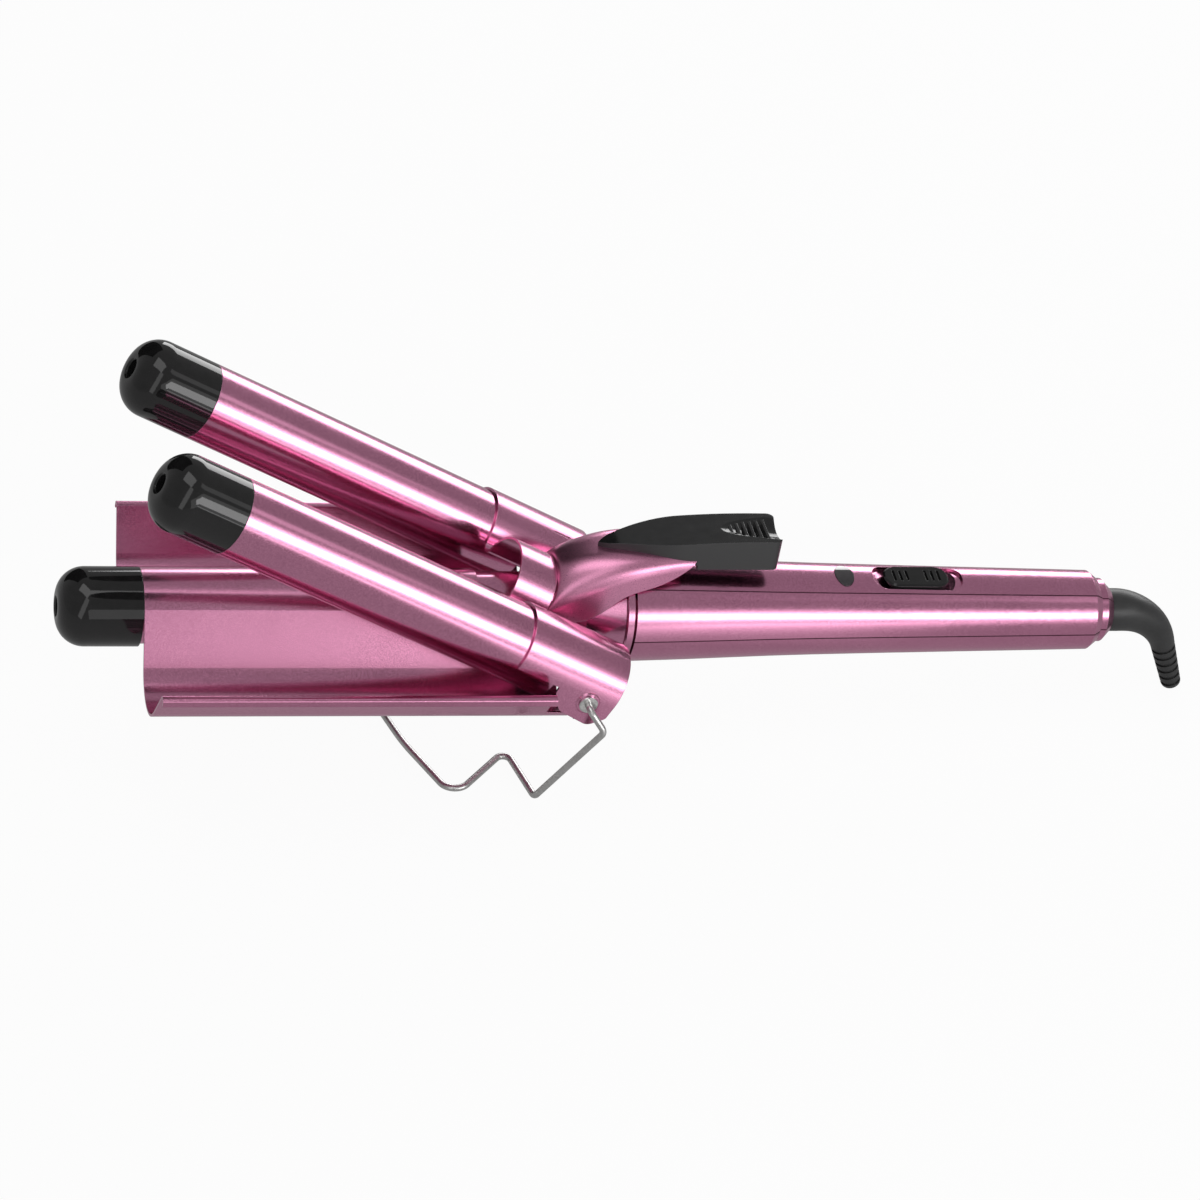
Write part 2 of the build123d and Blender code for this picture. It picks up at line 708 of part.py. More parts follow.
def scoop_below_edge():
    """Everything under the scoop's swept lower edge."""
    x0 = scoop_edge[0][0]
    x1 = scoop_edge[-1][0]
    outline = [
        Spline(*scoop_edge),
        Line(scoop_edge[-1], (x1 + 1, scoop_edge[-1][1])),
        Line((x1 + 1, scoop_edge[-1][1]), (x1 + 1, -30)),
        Line((x1 + 1, -30), (x0 - 9, -30)),
        Line((x0 - 9, -30), (x0 - 9, scoop_edge[0][1])),
        Line((x0 - 9, scoop_edge[0][1]), scoop_edge[0]),
    ]
    return across(make_face(outline), 2 * tray_hump_r)


def make_scoop():
    sheet = scoop_form(0) - scoop_form(scoop_t) - scoop_below_edge()
    for x in pad_rivet_xs:
        sheet -= rod_z(20, 30, pad_rivet_r + 0.02, x)
    return from_lever(sheet) + make_scoop_tab()


def make_pad():
    """Thumb pad: leaf-shaped in plan, a deep block behind, with a ribbed hollow for the thumb."""
    x0 = pad_plan[0][0]
    half_w = pad_plan[-1][1]
    side_view = [
        Spline(*pad_top),
        Line(pad_top[-1], (pad_rear_x, pad_bottom_z)),
        Line((pad_rear_x, pad_bottom_z), (pad_step_x, pad_bottom_z)),
        Line((pad_step_x, pad_bottom_z), (pad_step_x, 22.5)),
        Line((pad_step_x, 22.5), (x0, 22.5)),
        Line((x0, 22.5), pad_top[0]),
    ]
    body = across(make_face(side_view), half_w + 1)
    mirrored = tuple((x, -y) for x, y in reversed(pad_plan))
    plan = make_face([
        Spline(*pad_plan),
        FilletPolyline(pad_plan[-1], (pad_rear_x, half_w), (pad_rear_x, -half_w), mirrored[0], radius=pad_corner_r),
        Spline(*mirrored),
    ])
    body &= extrude(plan, amount=60)
    body -= scoop_form(0)
    slope = degrees(atan2(rest_depth, pad_rear_x - rest_apex_x))
    top = pad_top[-1][1] + 0.15
    hollow = Rot(0, slope, 0) * rod_x(0, 40, rest_r, 0, rest_r)
    hollow = Pos(rest_apex_x, 0, top) * hollow
    ribs = None
    for k in range(rib_count):
        x = pad_rear_x - rib_rear - k * rib_pitch
        rib = block(x - rib_w / 2, x + rib_w / 2, -half_w + 0.8, half_w - 0.8, 25, top - 0.55)
        ribs = rib if ribs is None else ribs + rib
    body -= hollow - ribs
    for x in pad_rivet_xs:
        body -= rod_z(20, 27.6, pad_rivet_r + 0.02, x)
    return from_lever(body)


def make_pad_rivets():
    crown = scoop_stations[-1][1]
    parts = []
    for x in pad_rivet_xs:
        rivet = rod_z(crown - scoop_t - 1.0, crown + 1.8, pad_rivet_r, x)
        rivet += rod_z(crown - scoop_t - 1.0, crown - scoop_t - 0.3, pad_rivet_r * 1.8, x)
        parts.append(from_lever(rivet))
    return Compound(parts)


# ---------- hinge ----------

def cheek_inner_y():
    return barrel_spacing + barrel_r + fit_gap


def ear_outer_y():
    return cheek_inner_y() - washer_t - 0.1


def make_yoke():
    """Bracket under the neck whose two ears carry the hinge rivets."""
    ear_out = ear_outer_y()
    ear_in = ear_out - ear_t
    front = hinge_x - yoke_length / 2
    plate_low = saddle_z - yoke_t
    yoke = block(front, front + yoke_length, -ear_out, ear_out, plate_low, saddle_z)
    for side in (-1, 1):
        y0, y1 = sorted((side * ear_in, side * ear_out))
        outline = make_face(Polyline((front, plate_low), (front + yoke_length, plate_low),
                                     (hinge_x + ear_r * 0.98, hinge_z - 0.8),
                                     (hinge_x - ear_r * 0.98, hinge_z - 0.8), close=True))
        ear = extrude(Plane.XZ.offset(-y1) * outline, amount=y1 - y0)
        ear += rod_y(y0, y1, ear_r, hinge_x, hinge_z)
        yoke += ear - rod_y(y0 - 1, y1 + 1, rivet_shank_r + 0.02, hinge_x, hinge_z)
    for y in (-yoke_screw_y, yoke_screw_y):
        yoke -= rod_z(plate_low - 1, saddle_z + 1, yoke_screw_r + fit_gap / 2, hinge_x, y)
    return yoke


def make_rivet(side):
    """Hollow hinge rivet: head outside the cheek, shank through cheek and ear, spring seat inside."""
    face = cheek_inner_y() + cover_t + cheek_boss_h
    head_y = face + 0.1
    rivet = rod_y(hinge_pin_inner_y, head_y + 0.05, rivet_shank_r, hinge_x, hinge_z)
    head = rod_y(head_y, head_y + rivet_head_t, rivet_head_r, hinge_x, hinge_z)
    rivet += chamfer(head.edges().filter_by(GeomType.CIRCLE).group_by(Axis.Y)[-1], 0.25)
    rivet += rod_y(hinge_pin_inner_y, hinge_pin_inner_y + 0.7, rivet_shank_r + 1.0, hinge_x, hinge_z)
    rivet -= rod_y(hinge_pin_inner_y - 1, head_y + 2, wire_r + running_gap, hinge_x, hinge_z)
    return rivet if side > 0 else flipped(rivet)


def make_washer(side):
    low = ear_outer_y()
    washer = rod_y(low, low + washer_t, washer_r, hinge_x, hinge_z)
    washer -= rod_y(low - 1, low + 2, rivet_shank_r + 0.02, hinge_x, hinge_z)
    return washer if side > 0 else flipped(washer)


def make_spring(side):
    """Torsion spring on the rivet's shank, one leg down to the yoke, one leg forward."""
    height = spring_turns * spring_pitch
    coil = Helix(spring_pitch, height, spring_r)
    start = coil @ 0
    pen = Plane(origin=start, z_dir=coil % 0) * Circle(spring_wire_r)
    body = sweep(pen, path=coil, is_frenet=True)
    leg = Cylinder(spring_wire_r, spring_leg, align=(Align.CENTER, Align.CENTER, Align.MIN))
    first = Plane(origin=start, z_dir=-(coil % 0)) * leg
    second = Plane(origin=coil @ 1, z_dir=coil % 1) * leg
    spring = body + first + second
    base_y = hinge_pin_inner_y + 1.3
    spring = Pos(hinge_x, base_y, hinge_z) * Rot(-90, 0, 0) * Rot(0, 0, -35) * spring
    return spring if side > 0 else flipped(spring)


def make_yoke_screws():
    parts = []
    low = saddle_z - yoke_t
    for y in (-yoke_screw_y, yoke_screw_y):
        screw = rod_z(low - 1.3, saddle_z + 3.8, yoke_screw_r, hinge_x, y)
        screw += rod_z(low - 1.3, low, yoke_screw_r * 1.9, hinge_x, y)
        screw -= Pos(hinge_x, y, low - 1.3) * (Box(2.8, 0.6, 1.0) + Box(0.6, 2.8, 1.0))
        parts.append(screw)
    return Compound(parts)


# ---------- cord boot and swivel ----------

def boot_path():
    """Centre line of the boot, in the XZ plane: straight, bend, straight."""
    start_x = tail_end_x
    bend_x = start_x + boot_straight
    end = (bend_x + boot_bend_r * sin(radians(boot_bend)), -boot_bend_r * (1 - cos(radians(boot_bend))))
    heading = (cos(radians(boot_bend)), -sin(radians(boot_bend)))
    return bend_x, end, heading


def boot_station(turn):
    """Plane square to the centre line, turn degrees round the bend."""
    bend_x = tail_end_x + boot_straight
    x = bend_x + boot_bend_r * sin(radians(turn))
    z = -boot_bend_r * (1 - cos(radians(turn)))
    return Plane(origin=(x, 0, z), x_dir=(0, 1, 0), z_dir=(cos(radians(turn)), 0, -sin(radians(turn))))


def make_boot():
    bend_x, end, heading = boot_path()
    pocket_end = tail_end_x - handle_wall - 1.5
    flange_x = pocket_end - 0.2 - flange_t
    boot = rod_x(flange_x, flange_x + flange_t, flange_r)
    boot += rod_x(flange_x, bend_x, boot_r)
    shares = (0.0, 0.2, 0.4, 0.6, 0.8, 1.0)
    drop = boot_r - boot_neck_r
    falls = (0.0, 0.13, 0.35, 0.57, 0.79, 1.0)
    boot += loft([boot_station(k * boot_bend) * Circle(boot_r - drop * f) for k, f in zip(shares, falls)])
    last = boot_station(boot_bend)
    tail = Cone(boot_neck_r, boot_tip_r, boot_tail, align=(Align.CENTER, Align.CENTER, Align.MIN))
    tail = fillet(tail.edges().filter_by(GeomType.CIRCLE).group_by(Axis.Z)[-1], boot_tip_fillet)
    boot += last * tail
    for k in range(boot_groove_count):
        reach = boot_tail - boot_groove_end - k * boot_groove_pitch
        here = boot_neck_r + (boot_tip_r - boot_neck_r) * reach / boot_tail
        ring = Cylinder(here + 1, boot_groove_w) - Cylinder(here - boot_groove_depth, boot_groove_w + 1)
        at = Plane(origin=(end[0] + reach * heading[0], 0, end[1] + reach * heading[1]),
                   x_dir=(0, 1, 0), z_dir=(heading[0], 0, heading[1]))
        boot -= at * ring
    bore = rod_x(flange_x - 1, bend_x + 0.5, cord_bore_r)
    bore += loft([boot_station(k * boot_bend) * Circle(cord_bore_r) for k in (0, 0.33, 0.67, 1)])
    bore += last * Cylinder(cord_bore_r, boot_tail + 2, align=(Align.CENTER, Align.CENTER, Align.MIN))
    return boot - bore


def make_slip_rings():
    pocket_end = tail_end_x - handle_wall - 1.5
    x = pocket_end - 0.2 - flange_t
    parts = []
    for r in (4.4, 7.2):
        parts.append(rod_x(x - 0.6, x, r + 0.8) - rod_x(x - 1, x + 1, r - 0.8))
    return Compound(parts)


def make_swivel_block():
    x = pocket_x + 0.2
    block_part = rod_x(x, x + 1.6, pocket_r - 0.05)
    block_part -= rod_x(x - 1, x + 3, cord_bore_r)
    for y in (-4.4, 7.2):
        block_part -= rod_x(x - 1, x + 3, 0.75, y)
    return block_part


def make_contact_blades():
    pocket_end = tail_end_x - handle_wall - 1.5
    face = pocket_end - 0.2 - flange_t - 0.6
    return Compound([rod_x(pocket_x - 3, face - 0.3, 0.7, y) for y in (-4.4, 7.2)])


# ---------- leads inside the handle ----------

def lead(points, bend=4.0):
    path = FilletPolyline(*points, radius=bend)
    pen = Plane(origin=path @ 0, z_dir=path % 0) * Circle(lead_r)
    return sweep(pen, path=path)


def make_heater_leads():
    """Two leads from the middle heating bar through the neck to the board."""
    start = heater_front_x + bar_length
    gap = bar_w / 4
    z = board_z + board_t / 2
    return Compound([
        lead(((start, s * gap, 0), (16, s * gap, 0), (34, s * lead_side, z / 2),
              (50, s * lead_side, z), (board_x, s * lead_side, z)), 10.0)
        for s in (-1, 1)
    ])


def make_supply_leads():
    """Two leads from the board's rear edge to the contact blades."""
    start = board_x + board_length
    z = board_z + board_t / 2
    parts = []
    for y in (-4.4, 7.2):
        parts.append(lead(((start, y, z), (start + 3.5, y, z), (pocket_x - 6.5, y, 0), (pocket_x - 3, y, 0)), 1.6))
    return Compound(parts)


def make_fuse():
    """Thermal fuse on one heater lead, just behind the bar."""
    start = heater_front_x + bar_length
    gap = bar_w / 4
    return rod_x(start + 6, start + 18, 2.2, gap) - rod_x(start + 5, start + 19, lead_r + 0.02, gap)


# ---------- wire stand ----------

def table_line():
    """Table under the device: a point on it and its upward normal, in the device's XZ plane."""
    bend_x, end, heading = boot_path()
    up = (-sin(radians(rest_pitch)), cos(radians(rest_pitch)))
    rise = cord_bore_r - (boot_tip_r - boot_tip_fillet)
    reach = boot_tail - boot_tip_fillet + sqrt(boot_tip_fillet ** 2 - rise ** 2)
    point = (end[0] + reach * heading[0] + cord_bore_r * heading[1],
             end[1] + reach * heading[1] - cord_bore_r * heading[0])
    return point, up


def on_table(x, lift):
    """Height, in the device frame, of a point that stands lift above the table at x."""
    point, up = table_line()
    return point[1] + (lift - (x - point[0]) * up[0]) / up[1]


def stand_points():
    """Corners of the wire, from inside the near rivet round to inside the far rivet."""
    inner = hinge_pin_inner_y + 2.0
    near = [(hinge_x, -inner, hinge_z), (hinge_x, -stand_out_y, hinge_z), (elbow_x, -elbow_y, elbow_z)]
    feet = [(x, y, on_table(x, wire_r)) for x, y in (foot_one, foot_notch, foot_two, foot_side, foot_three)]
    far = [(x, -y, z) for x, y, z in reversed(near)]
    return near + feet + far


def make_stand():
    path = FilletPolyline(*stand_points(), radius=stand_bends)
    pen = Plane(origin=path @ 0, z_dir=path % 0) * Circle(wire_r)
    return sweep(pen, path=path)


# ---------- assembly ----------

def clamp_pieces():
    """Everything that swings with the lever, drawn with the clamp closed."""
    pieces = {
        "clamp_cover": make_cover() - stud_holes(1) - stud_holes(-1),
        "barrel_studs": make_barrel_studs(),
        "lever_scoop": make_scoop(),
        "thumb_pad": make_pad(),
        "pad_rivets": make_pad_rivets(),
    }
    bore = barrel_r - barrel_wall
    for name, side in sides.items():
        y = side * barrel_spacing
        z = -outer_drop
        front = outer_seam_x
        pieces[name + "_barrel"] = make_tube(front, outer_tube_rear_x, barrel_r, y, z) - stud_holes(side)
        pieces[name + "_tip_cap"] = make_cap(front, bore, y, z)
        pieces[name + "_heating_bar"] = make_heating_bar(heater_front_x + 3, y, z)
        pieces[name + "_heat_spreaders"] = make_spreaders(heater_front_x + 3, bore, y, z)
        pieces[name + "_heater_leads"] = make_leads(heater_front_x + 3 + bar_length, -18.0, y, z)
    return {name: turned(piece, open_angle) for name, piece in pieces.items()}


def fixed_pieces():
    """Everything that stays with the handle."""
    bore = middle_tube_r - barrel_wall
    pieces = {
        "tray": make_tray(),
        "middle_barrel": make_tube(middle_seam_x, neck_x, middle_tube_r),
        "middle_tip_cap": make_cap(middle_seam_x, bore),
        "middle_heating_bar": make_heating_bar(heater_front_x),
        "middle_heat_spreaders": make_spreaders(heater_front_x, bore),
        "thermal_fuse": make_fuse(),
        "heater_leads": make_heater_leads(),
        "neck_collar": make_neck(),
        "front_ring": make_front_ring(),
        "upper_handle_shell": make_upper_shell(),
        "lower_handle_shell": make_lower_shell(),
        "top_panel": make_top_panel(),
        "handle_screws": make_handle_screws(),
        "indicator_lens": make_lens(),
        "indicator_lamp": make_lamp(),
        "circuit_board": make_board(),
        "board_spacers": make_board_posts(),
        "switch_body": make_switch_body(),
        "supply_leads": make_supply_leads(),
        "hinge_yoke": make_yoke(),
        "yoke_screws": make_yoke_screws(),
        "swivel_block": make_swivel_block(),
        "contact_blades": make_contact_blades(),
    }
    for name in handle_group:
        pieces[name] = Rot(handle_turn, 0, 0) * pieces[name]
    for name, side in sides.items():
        pieces[name + "_hinge_rivet"] = make_rivet(side)
        pieces[name + "_hinge_washer"] = make_washer(side)
        pieces[name + "_torsion_spring"] = make_spring(side)
    return pieces


def all_pieces():
    pieces = fixed_pieces()
    pieces.update(clamp_pieces())
    pieces["wire_stand"] = make_stand()
    pieces["switch_knob"] = Rot(handle_turn, 0, 0) * make_knob()
    pieces["cord_boot"] = make_boot()
    pieces["slip_rings"] = make_slip_rings()
    return pieces


def placement(pieces):
    """Tilt to the rest pitch, then bring the middle of the footprint to the origin."""
    tilted = [Rot(0, rest_pitch, 0) * piece for piece in pieces.values()]
    boxes = [piece.bounding_box() for piece in tilted]
    low = [min(getattr(box.min, axis) for box in boxes) for axis in "XYZ"]
    high = [max(getattr(box.max, axis) for box in boxes) for axis in "XYZ"]
    return Pos(-(low[0] + high[0]) / 2, -(low[1] + high[1]) / 2, -low[2]) * Rot(0, rest_pitch, 0)


def main():
    os.makedirs("parts", exist_ok=True)
    pieces = all_pieces()
    place = placement(pieces)
    for name, piece in pieces.items():
        export_step(place * piece, "parts/" + name + ".step")
    print("placed by", place)
    print(len(pieces), "pieces")


main()
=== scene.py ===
from math import cos, pi, radians, sin, tan

import bmesh
import bpy
from mathutils import Matrix, Vector


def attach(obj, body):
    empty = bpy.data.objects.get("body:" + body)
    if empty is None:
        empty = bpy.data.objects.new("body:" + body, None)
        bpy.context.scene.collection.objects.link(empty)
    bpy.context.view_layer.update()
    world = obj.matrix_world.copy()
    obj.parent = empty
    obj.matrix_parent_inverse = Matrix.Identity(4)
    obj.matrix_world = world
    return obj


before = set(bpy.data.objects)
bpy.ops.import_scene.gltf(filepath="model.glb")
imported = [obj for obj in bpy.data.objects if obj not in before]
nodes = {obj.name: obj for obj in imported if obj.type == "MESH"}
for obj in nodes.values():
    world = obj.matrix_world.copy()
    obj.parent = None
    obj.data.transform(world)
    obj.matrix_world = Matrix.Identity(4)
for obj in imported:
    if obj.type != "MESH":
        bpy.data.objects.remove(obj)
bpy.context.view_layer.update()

scene = bpy.context.scene


class Value:
    # one socket of a shader, so that the sums further down read as plain Python

    def __init__(self, paint, socket):
        self.paint = paint
        self.socket = socket

    def __add__(self, other):
        return self.paint.sums("ADD", self, other)

    __radd__ = __add__

    def __sub__(self, other):
        return self.paint.sums("SUBTRACT", self, other)

    def __rsub__(self, other):
        return self.paint.sums("SUBTRACT", other, self)

    def __mul__(self, other):
        return self.paint.sums("MULTIPLY", self, other)

    __rmul__ = __mul__

    def __truediv__(self, other):
        return self.paint.sums("DIVIDE", self, other)

    def __rtruediv__(self, other):
        return self.paint.sums("DIVIDE", other, self)


class Paint:
    # the nodes of one material or world

    def __init__(self, holder):
        holder.use_nodes = True
        self.holder = holder
        self.tree = holder.node_tree
        self.tree.nodes.clear()

    def node(self, kind, settings=None, inputs=None, out=0):
        made = self.tree.nodes.new(kind)
        for name, value in (settings or {}).items():
            setattr(made, name, value)
        for name, value in (inputs or {}).items():
            if isinstance(value, Value):
                self.tree.links.new(value.socket, made.inputs[name])
            else:
                made.inputs[name].default_value = value
        return Value(self, made.outputs[out]) if len(made.outputs) else None

    def sums(self, operation, first, second=0.0):
        return self.node("ShaderNodeMath", {"operation": operation}, {0: first, 1: second})

    def dot(self, first, second):
        settings = {"operation": "DOT_PRODUCT"}
        return self.node("ShaderNodeVectorMath", settings, {0: first, 1: second}, "Value")

    def clamp(self, value):
        return self.node("ShaderNodeClamp", {}, {"Value": value})

    def mix(self, factor, first, second):
        settings = {"data_type": "RGBA"}
        return self.node("ShaderNodeMix", settings, {0: factor, 6: first, 7: second}, out=2)

    def place(self):
        return self.node("ShaderNodeTexCoord", out="Object")

    def along(self, way, start=0.0):
        # how far a point lies along this direction, in metres
        return self.dot(self.place(), way) - start

    def facing(self):
        return self.node("ShaderNodeNewGeometry", out="Normal")

    def rounded(self, radius):
        # the surface's direction with its edges rounded by this radius, in millimetres
        return self.node("ShaderNodeBevel", {"samples": 4}, {"Radius": radius / 1000})

    def paintedEdges(self, radius, sharp=6):
        # 1 along the edges and 0 away from them, the mask of a painted edge highlight; radius of the
        # edge in millimetres
        return self.clamp(sharp * (1 - self.dot(self.rounded(radius), self.facing())))

    def grain(self, size, detail=2.0, stretch=None):
        # mottling about 0, with grains of this size in millimetres
        where = self.place()
        if stretch:
            where = self.node("ShaderNodeMapping", {}, {"Vector": where, "Scale": stretch})
        inputs = {"Vector": where, "Scale": 1000 / size, "Detail": detail}
        return self.node("ShaderNodeTexNoise", {}, inputs) - 0.5

    def normal(self, height, strength, depth, edge=0.0):
        # depth of the relief and radius of the softened edges, both in millimetres
        inputs = {"Height": height, "Strength": strength, "Distance": depth / 1000}
        if edge:
            inputs["Normal"] = self.rounded(edge)
        return self.node("ShaderNodeBump", {}, inputs)

    def surface(self, inputs):
        shader = self.node("ShaderNodeBsdfPrincipled", {}, inputs)
        self.node("ShaderNodeOutputMaterial", {}, {"Surface": shader})
        return self.holder


def rgb(colour):
    return (*colour, 1)


# the satin pink metallic coat: colours of its deep and pale flakes, sizes of flake, spark, cloud,
# relief and edge in millimetres, and how much each of them tells in the tone and the roughness
pinkSheet = {
    "deep": (0.61, 0.24, 0.39), "pale": (0.79, 0.34, 0.52), "paintedEdgeColour": (0.88, 0.52, 0.66),
    "flake": 0.42, "spark": 0.16, "cloud": 16, "flakeTone": 2.0, "sparkTone": 1.8, "cloudTone": 0.4,
    "roughness": 0.21, "roughSpread": 0.18, "cloudRough": 0.05, "relief": 0.075, "reliefDepth": 0.02,
    "edge": 0.22, "paintedEdgeShare": 0.5, "seams": [],
}
pinkTube = {**pinkSheet, "roughness": 0.18, "edge": 0.15}

# the handle stands tilted and a little turned about its own axis, in degrees; its parting line
# lies above the axis, the panel's seams lean half the panel's angle from the top, the seams are
# drawn as lines of painted shade and none lower than "lowest"; lengths in millimetres, the start in
# metres
handle = {
    "tilt": 4.5, "turn": 5.5, "start": (-0.0150777, 0, 0.0470993), "parting": 0.4, "panelHalf": 28.5,
    "seamWidth": 0.3, "seamCore": 1.6, "seamRough": 0.3, "paintedSeamShade": (0.10, 0.025, 0.05),
    "lowest": -1.0,
}


def handlePlane(lean, offset):
    # a plane along the handle: the way it faces and its distance from the origin
    turn, tilt = radians(lean + handle["turn"]), radians(handle["tilt"])
    way = Vector((cos(turn) * sin(tilt), -sin(turn), cos(turn) * cos(tilt)))
    return way, way.dot(Vector(handle["start"])) + offset / 1000


topSide = handlePlane(0, 0)
partingSeam = handlePlane(0, handle["parting"])
panelSeams = [handlePlane(90 - handle["panelHalf"], 0), handlePlane(handle["panelHalf"] - 90, 0)]
pinkShell = {**pinkSheet, "roughness": 0.20, "flake": 0.38, "edge": 0.12}
scoopSheet = {**pinkSheet, "roughness": 0.31}
lowerShell = {**pinkShell, "seams": [partingSeam]}
upperShell = {**pinkShell, "seams": [partingSeam] + panelSeams}
panelShell = {**pinkShell, "seams": panelSeams}


def makePink(name, look):
    paint = Paint(bpy.data.materials.new(name))
    flake = paint.grain(look["flake"])
    spark = paint.grain(look["spark"], detail=1.0)
    cloud = paint.grain(look["cloud"])
    tone = 0.5 + look["flakeTone"] * flake + look["sparkTone"] * spark + look["cloudTone"] * cloud
    rough = look["roughness"] + look["roughSpread"] * flake + look["cloudRough"] * cloud
    colour = paint.mix(paint.clamp(tone), rgb(look["deep"]), rgb(look["pale"]))
    # painted highlight: the colour turns paler along the edges
    colour = paint.mix(look["paintedEdgeShare"] * paint.paintedEdges(look["edge"]), colour, rgb(look["paintedEdgeColour"]))
    # painted shade: a dark line along each seam plane stands in for the shadow down in the seam
    for way, start in look["seams"]:
        off = paint.sums("ABSOLUTE", paint.along(way, start))
        fade = 1000 * handle["seamCore"] / handle["seamWidth"]
        seamShadeMask = paint.clamp(handle["seamCore"] - off * fade)
        seamShadeMask = seamShadeMask * paint.sums("GREATER_THAN", paint.along(*topSide), handle["lowest"] / 1000)
        colour = paint.mix(seamShadeMask, colour, rgb(handle["paintedSeamShade"]))
        rough = rough + handle["seamRough"] * seamShadeMask
    return paint.surface({
        "Base Color": colour,
        "Metallic": 1.0,
        "Roughness": paint.clamp(rough),
        "Normal": paint.normal(flake + spark, look["relief"], look["reliefDepth"], look["edge"]),
    })


# black mouldings: glossy tip caps, satin thumb pad, switch knob, and the parts inside the handle;
# grain, texture, relief and edge in millimetres; "upright" is what makes a face count as a side
capBlack = {
    "dark": (0.006, 0.006, 0.006), "light": (0.013, 0.0125, 0.013), "paintedEdgeColour": (0.06, 0.06, 0.062),
    "grain": 2.6, "texture": 0.35, "grainTone": 1.4, "textureTone": 0.8, "roughness": 0.055,
    "roughSpread": 0.05, "textureRough": 0.05, "relief": 0.03, "reliefDepth": 0.02, "edge": 0.25,
    "paintedEdgeShare": 0.6, "upright": (1.6, 4), "paintedSheenShare": 0.8, "paintedSideSheen": (0.013, 0.0125, 0.013),
    "sideRough": 0.0,
}
padBlack = {
    **capBlack, "dark": (0.009, 0.009, 0.0095), "light": (0.018, 0.018, 0.0185),
    "roughness": 0.10, "roughSpread": 0.08, "grain": 3.0, "texture": 0.3, "relief": 0.04,
    "edge": 0.3, "paintedSideSheen": (0.040, 0.040, 0.041), "sideRough": 0.22,
}
knobBlack = {**capBlack, "roughness": 0.09, "edge": 0.2}
innerBlack = {**padBlack, "roughness": 0.45, "roughSpread": 0.16}


def makeBlack(name, look):
    paint = Paint(bpy.data.materials.new(name))
    swirl = paint.grain(look["grain"], detail=3.0)
    fine = paint.grain(look["texture"], detail=1.0)
    tone = paint.clamp(0.5 + look["grainTone"] * swirl + look["textureTone"] * fine)
    colour = paint.mix(tone, rgb(look["dark"]), rgb(look["light"]))
    # upright faces keep the satin of the mould and their colour is painted lighter there, a painted
    # sheen; the top is polished
    most, fall = look["upright"]
    upright = paint.clamp(most - fall * paint.sums("ABSOLUTE", paint.dot(paint.facing(), (0, 0, 1))))
    colour = paint.mix(look["paintedSheenShare"] * upright, colour, rgb(look["paintedSideSheen"]))
    rough = look["roughness"] + look["roughSpread"] * swirl + look["textureRough"] * fine
    rough = rough + look["sideRough"] * upright
    # painted highlight: the base colour turns paler along the edges
    return paint.surface({
        "Base Color": paint.mix(look["paintedEdgeShare"] * paint.paintedEdges(look["edge"]), colour, rgb(look["paintedEdgeColour"])),
        "Roughness": paint.clamp(rough),
        "Normal": paint.normal(fine, look["relief"], look["reliefDepth"], look["edge"]),
    })


# rubber of the cord boot, with painted shade down in its grooves; sizes in millimetres
bootRubber = {
    "dark": (0.020, 0.020, 0.020), "light": (0.040, 0.040, 0.041), "paintedGrooveShade": (0.002, 0.002, 0.002),
    "bloom": 7.0, "bloomTone": 1.5, "bloomRough": 0.14, "texture": 0.25, "textureRough": 0.1,
    "roughness": 0.42, "relief": 0.25, "reliefDepth": 0.03, "edge": 0.2, "groove": 2.2,
    "grooveFade": (2.4, 1.1),
}


def makeRubber(name, look):
    paint = Paint(bpy.data.materials.new(name))
    bloom = paint.grain(look["bloom"], detail=3.0)
    fine = paint.grain(look["texture"])
    tone = paint.clamp(0.5 + look["bloomTone"] * bloom + fine)
    colour = paint.mix(tone, rgb(look["dark"]), rgb(look["light"]))
    # painted shade: where ambient occlusion finds the surface closed in, the colour goes to near
    # black
    reach = {"Distance": look["groove"] / 1000}
    free = paint.node("ShaderNodeAmbientOcclusion", {"samples": 4}, reach, "AO")
    steep, start = look["grooveFade"]
    rough = look["roughness"] + look["bloomRough"] * bloom + look["textureRough"] * fine
    return paint.surface({
        "Base Color": paint.mix(paint.clamp(steep * free - start), rgb(look["paintedGrooveShade"]), colour),
        "Roughness": paint.clamp(rough),
        "Normal": paint.normal(fine, look["relief"], look["reliefDepth"], look["edge"]),
    })


# bare metals: colour, roughness, size of the drawn or brushed marks and their stretch, and size of
# the clouds in the finish; sizes in millimetres
wireSteel = {
    "dark": (0.50, 0.495, 0.49), "light": (0.74, 0.73, 0.72), "roughness": 0.33, "roughSpread": 0.10,
    "mark": 0.9, "markTone": 1.6, "stretch": (1, 1, 1), "cloud": 6, "cloudRough": 0.06,
    "relief": 0.02, "reliefDepth": 0.01, "edge": 0.0,
}
rivetSteel = {**wireSteel, "light": (0.84, 0.83, 0.82), "roughness": 0.18, "edge": 0.1}
springSteel = {**wireSteel, "dark": (0.30, 0.29, 0.28), "roughness": 0.30}
rolledSteel = {**wireSteel, "roughness": 0.36, "roughSpread": 0.2, "mark": 0.3,
               "stretch": (0.08, 1, 1), "relief": 0.2}
darkSteel = {**rolledSteel, "dark": (0.05, 0.045, 0.05), "light": (0.13, 0.12, 0.125),
             "roughness": 0.45}
aluminium = {**rolledSteel, "dark": (0.62, 0.62, 0.63), "light": (0.80, 0.80, 0.81),
             "stretch": (0.05, 1, 1)}
brass = {**rolledSteel, "dark": (0.62, 0.43, 0.18), "light": (0.83, 0.63, 0.30),
         "stretch": (1, 1, 1)}


